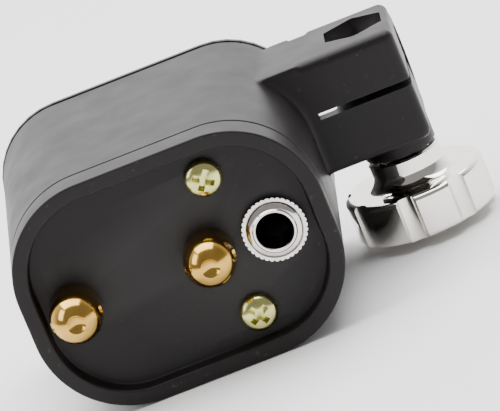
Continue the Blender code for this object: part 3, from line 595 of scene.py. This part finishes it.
def make_socket(finish):
    """The phone socket's threaded bushing and its knurled ring nut."""
    low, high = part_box("jack_bushing")
    centre = (low + high) / 2
    length = high.y - low.y
    profile = [(3.2 * MM, length - 0.2 * MM), (3.35 * MM, length), (3.7 * MM, length),
               (3.9 * MM, length - 0.2 * MM), (3.9 * MM, length - 0.55 * MM)]
    distance = length - 0.6 * MM
    while distance > length - 3.6 * MM:
        profile += [(4.25 * MM, distance), (4.62 * MM, distance - 0.2 * MM), (4.25 * MM, distance - 0.4 * MM)]
        distance -= 0.44 * MM
    profile += [(4.5 * MM, 1.3 * MM), (6.1 * MM, 1.2 * MM), (6.1 * MM, 0.0), (3.2 * MM, 0.0)]
    bushing = turned("jack_bushing_thread", (centre.x, high.y, centre.z), "-Y", profile, 96, closed=True)
    finish_edges(bushing, 0.0, smooth=28.0)
    place(bushing, "jack_bushing", "body", finish["nickel"])
    low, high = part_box("jack_nut")
    centre = (low + high) / 2
    nut = rod("jack_nut_knurled", centre, 5.45 * MM, high.y - low.y, "Y", NUT_TEETH * 4)
    bpy.ops.object.mode_set(mode="EDIT")
    bpy.ops.mesh.select_mode(type="FACE")
    bpy.ops.mesh.select_all(action="DESELECT")
    form = bmesh.from_edit_mesh(nut.data)
    for face in form.faces:
        if abs(face.normal.y) < 0.5:
            middle = face.calc_center_median() - centre
            step = math.atan2(middle.z, middle.x) / TURN * NUT_TEETH
            face.select_set(step - math.floor(step) > 0.5)
    bmesh.update_edit_mesh(nut.data)
    bpy.ops.transform.resize(value=(1.045, 1.0, 1.045), center_override=centre)
    bpy.ops.object.mode_set(mode="OBJECT")
    carve(nut, rod("thread_hole", centre, 4.75 * MM, 10 * MM, "Y", 96))
    deselect()
    bpy.ops.mesh.primitive_cone_add(vertices=96, radius1=5.5 * MM, radius2=4.3 * MM, depth=0.8 * MM,
                                    location=(centre.x, low.y + 0.15 * MM, centre.z),
                                    rotation=(-math.pi / 2, 0.0, 0.0))
    carve(nut, fix_place("dish"))
    finish_edges(nut, 0.06 * MM, 2, angle=35.0)
    place(nut, "jack_nut", "body", finish["nickel"])


# Clamp screw

def make_knob(finish):
    """The chromed knob: a neck that sweeps into a flat shoulder, a rim with eight shallow lobes."""
    low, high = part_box("clamp_knob")
    centre = (low + high) / 2
    top = high.z
    bottom = low.z
    shoulder = PANEL_HEIGHT + KNOB_SHOULDER
    neck, rim, cove = KNOB_NECK, KNOB_RIM, KNOB_COVE
    profile = [(0.0, top - bottom), (neck - 0.3 * MM, top - bottom), (neck, top - bottom - 0.3 * MM)]
    for step in range(13):
        angle = (math.pi / 2) * step / 12
        profile.append((neck + cove * (1.0 - math.cos(angle)),
                        shoulder - bottom + cove * (1.0 - math.sin(angle))))
    for step in range(9):
        angle = (math.pi / 2) * step / 8
        profile.append((rim - 1.0 * MM * (1.0 - math.sin(angle)),
                        shoulder - bottom - 1.0 * MM * (1.0 - math.cos(angle))))
    for step in range(9):
        angle = (math.pi / 2) * step / 8
        profile.append((rim - 0.9 * MM * (1.0 - math.cos(angle)), 0.9 * MM * (1.0 - math.sin(angle))))
    profile += [(7.2 * MM, 0.0), (6.8 * MM, 0.35 * MM), (0.0, 0.35 * MM)]
    knob = turned("clamp_knob_chrome", (centre.x, centre.y, bottom), "Z", profile, 160)
    for lobe in range(KNOB_LOBES):
        angle = KNOB_FIRST_GROOVE + TURN * lobe / KNOB_LOBES
        spot = Vector((centre.x + GROOVE_AT * math.cos(angle), centre.y + GROOVE_AT * math.sin(angle),
                       (shoulder + bottom) / 2))
        carve(knob, rod("groove", spot, GROOVE_RADIUS, 12 * MM, "Z", 48))
    finish_edges(knob, 0.45 * MM, 4, angle=28.0)
    place(knob, "clamp_knob", "knob", finish["chrome"])
    low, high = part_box("knob_washer")
    centre = (low + high) / 2
    thick = high.z - low.z
    profile = [(3.1 * MM, 0.0), (4.85 * MM, 0.0), (5.0 * MM, 0.15 * MM), (5.0 * MM, thick - 0.15 * MM),
               (4.85 * MM, thick), (3.1 * MM, thick)]
    washer = turned("knob_washer_steel", (centre.x, centre.y, low.z), "Z", profile, 72, closed=True)
    finish_edges(washer, 0.0, smooth=25.0)
    place(washer, "knob_washer", "knob_washer", finish["steel"])


def make_stud(finish):
    low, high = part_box("clamp_stud")
    centre = (low + high) / 2
    length = high.z - low.z
    radius = (high.x - low.x) / 2
    profile = [(0.0, length - 0.05 * MM), (radius - 0.9 * MM, length), (radius - 0.4 * MM, length - 0.5 * MM)]
    distance = length - 0.6 * MM
    while distance > 2.0 * MM:
        profile += [(radius, distance), (radius, distance - 0.12 * MM),
                    (radius - 0.5 * MM, distance - 0.45 * MM)]
        distance -= 0.7 * MM
    profile += [(radius - 0.3 * MM, 0.3 * MM), (0.0, 0.0)]
    thread = turned("clamp_stud_thread", (centre.x, centre.y, low.z), "Z", profile, 64)
    finish_edges(thread, 0.0, smooth=30.0)
    place(thread, "clamp_stud", "knob", finish["steel"])
    nut = dressed("clamp_nut", "clamp_nut_hex", 0.35 * MM, 3)
    place(nut, "clamp_nut", "body", finish["nickel"])


# Front and inside: copies of the CAD forms with rounded edges

DRESSED = {
    "eccentric_wheel": 0.35, "crank_pin": 0.15, "crank_bearing": 0.2,
    "grub_screw": 0.08, "plate_screw_upper": 0.1, "plate_screw_lower": 0.1, "motor_screw_upper": 0.06,
    "motor_screw_lower": 0.06, "motor_shaft": 0.1, "jack_body": 0.2, "jack_tip_spring": 0.12,
}


def body_of(node):
    for body, nodes in frame["record"]["behaviour"]["bodies"].items():
        if node in nodes:
            return body
    return "body"


def dress_the_rest(finish):
    slots = {part["node"]: part["material_slot"] for part in frame["record"]["subparts"]}
    for node, width in DRESSED.items():
        obj = dressed(node, f"{node}_detail", width * MM)
        place(obj, node, body_of(node), finish[slots[node]])
    for node, obj in frame["nodes"].items():
        if node not in PLACED:
            obj.data.materials.clear()
            obj.data.materials.append(finish[slots[node]])


# Studio

def panel_centre():
    low, high = CAP_LOW, CAP_HIGH
    return Vector(((low.x + high.x) / 2, low.y, PANEL_HEIGHT))


def make_camera():
    yaw, rise, roll = VIEW_YAW, VIEW_ELEVATION, VIEW_ROLL
    forward = Vector((math.sin(yaw) * math.cos(rise), math.cos(yaw) * math.cos(rise), -math.sin(rise)))
    level = Vector((math.cos(yaw), -math.sin(yaw), 0.0))
    upward = level.cross(forward)
    right = math.cos(roll) * level - math.sin(roll) * upward
    above = math.sin(roll) * level + math.cos(roll) * upward
    spot = panel_centre() + AIM_RIGHT * right + AIM_UP * above - VIEW_DISTANCE * forward
    data = bpy.data.cameras.new("camera")
    data.lens = LENS
    data.sensor_width = 36.0
    data.clip_start = 0.01
    data.clip_end = 50.0
    camera = bpy.data.objects.new("camera", data)
    rows = Matrix((right, above, -forward)).transposed()
    camera.matrix_world = Matrix.Translation(spot) @ rows.to_4x4()
    bpy.context.scene.collection.objects.link(camera)
    bpy.context.scene.camera = camera


def make_floor():
    deselect()
    bpy.ops.mesh.primitive_plane_add(size=6.0, location=(0.0, 1.5, -0.0002))
    floor = bpy.context.active_object
    floor.name = "floor"
    floor.data.materials.append(coat_of("paper_floor", (0.93, 0.93, 0.93), (0.91, 0.91, 0.91), 0.0,
                                        (0.9, 0.95), 20.0, 900.0, 0.01, specular=0.1))


def area_light(name, spot, target, size, power):
    data = bpy.data.lights.new(name, "AREA")
    data.shape = "RECTANGLE"
    data.size, data.size_y = size
    data.energy = power
    light = bpy.data.objects.new(name, data)
    light.location = spot
    direction = Vector(target) - Vector(spot)
    light.rotation_euler = direction.to_track_quat("-Z", "Y").to_euler()
    bpy.context.scene.collection.objects.link(light)


def make_light():
    """A pale room, brightest overhead and behind, and two soft boxes."""
    world = bpy.data.worlds.new("studio")
    world.use_nodes = True
    tree = world.node_tree
    background = tree.nodes["Background"]
    source = tree.nodes.new("ShaderNodeTexCoord").outputs["Generated"]
    split = tree.nodes.new("ShaderNodeSeparateXYZ")
    tree.links.new(source, split.inputs["Vector"])
    side = spread(tree, split.outputs["Y"], 0.35, 2.8, -0.1, 0.9)
    seen = tree.nodes.new("ShaderNodeLightPath")
    choice = tree.nodes.new("ShaderNodeMix")
    tree.links.new(seen.outputs["Is Camera Ray"], choice.inputs["Factor"])
    tree.links.new(side, choice.inputs[2])
    choice.inputs[3].default_value = 1.1
    tree.links.new(choice.outputs[0], background.inputs["Strength"])
    background.inputs["Color"].default_value = (1.0, 1.0, 1.0, 1.0)
    bpy.context.scene.world = world
    area_light("top_softbox", (0.0, 0.15, 0.7), (0.0, 0.0, 0.0), (0.9, 0.9), 15.0)
    area_light("left_softbox", (-0.6, -0.25, 0.45), (0.0, 0.0, 0.02), (0.3, 0.5), 2.0)


finish = make_finishes()
make_camera()
make_floor()
make_light()
make_rear_cap(finish)
make_housing(finish)
make_posts(finish)
make_cap_screws(finish)
make_socket(finish)
make_knob(finish)
make_stud(finish)
dress_the_rest(finish)
deselect()
